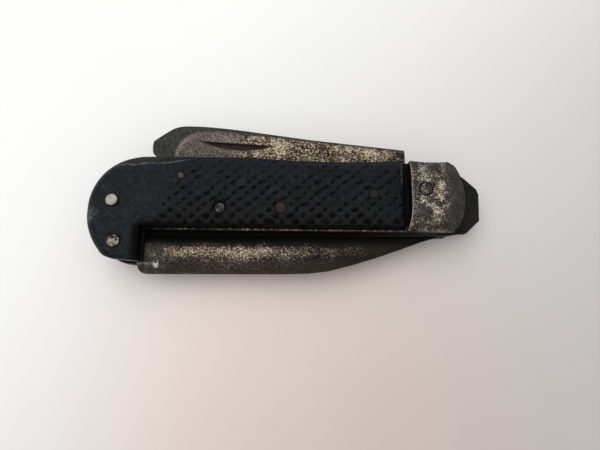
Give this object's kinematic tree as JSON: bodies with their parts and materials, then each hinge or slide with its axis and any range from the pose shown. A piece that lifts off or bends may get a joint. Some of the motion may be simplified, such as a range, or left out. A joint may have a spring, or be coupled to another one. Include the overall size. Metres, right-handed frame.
{
  "type": "folding pocket knife",
  "caption": "Closed clasp knife with a folding sheepfoot blade, a tin opener, a round marlin spike along its back, chequered scales and a screwdriver tip.",
  "frame": {"origin": "on the resting face of the far scale, under the middle of the closed knife's box", "axes": "+X from the tail to the screwdriver tip, +Y from the spike to the back of the blade, +Z from the far scale to the near scale"},
  "size_m": [0.1008, 0.0396, 0.0155],
  "materials": {
    "scale_plastic": "chequered, worn",
    "bolster_steel": "worn and mottled",
    "liner_steel": "worn",
    "spring_steel": "dark patina",
    "blade_steel": "pitted patina",
    "spike_steel": "pitted patina",
    "rivet_steel": "worn bright",
    "pin_steel": "dull",
    "pin_brass": "tarnished"
  },
  "bodies": {
    "handle": {"near_scale": "scale_plastic", "far_scale": "scale_plastic", "near_liner": "liner_steel", "far_liner": "liner_steel", "centre_liner": "liner_steel", "near_bolster": "bolster_steel", "far_bolster": "bolster_steel", "blade_spring": "spring_steel", "driver_spring": "spring_steel", "blade_pivot_pin": "bolster_steel", "opener_rivet": "rivet_steel", "spike_rivet": "rivet_steel", "left_spring_pin": "pin_steel", "right_spring_pin": "pin_brass", "near_left_scale_pin": "pin_brass", "far_left_scale_pin": "pin_brass", "near_right_scale_pin": "pin_brass", "far_right_scale_pin": "pin_brass"},
    "blade": {"main_blade": "blade_steel"},
    "opener": {"tin_opener": "blade_steel"},
    "spike": {"marlin_spike": "spike_steel"}
  },
  "joints": [
    {"name": "blade_hinge", "type": "hinge", "parent": "handle", "child": "blade", "pos_m": [0.0344, 0.00085, 0.00925], "axis": [0, 0, -1], "range_deg": [0, 180]},
    {"name": "opener_hinge", "type": "hinge", "parent": "handle", "child": "opener", "pos_m": [-0.04385, -0.002, 0.00615], "axis": [0, 0, 1], "range_deg": [0, 130]},
    {"name": "spike_hinge", "type": "hinge", "parent": "handle", "child": "spike", "pos_m": [-0.04265, -0.0123, 0.00775], "axis": [0, 0, -1], "range_deg": [0, 180]}
  ]
}
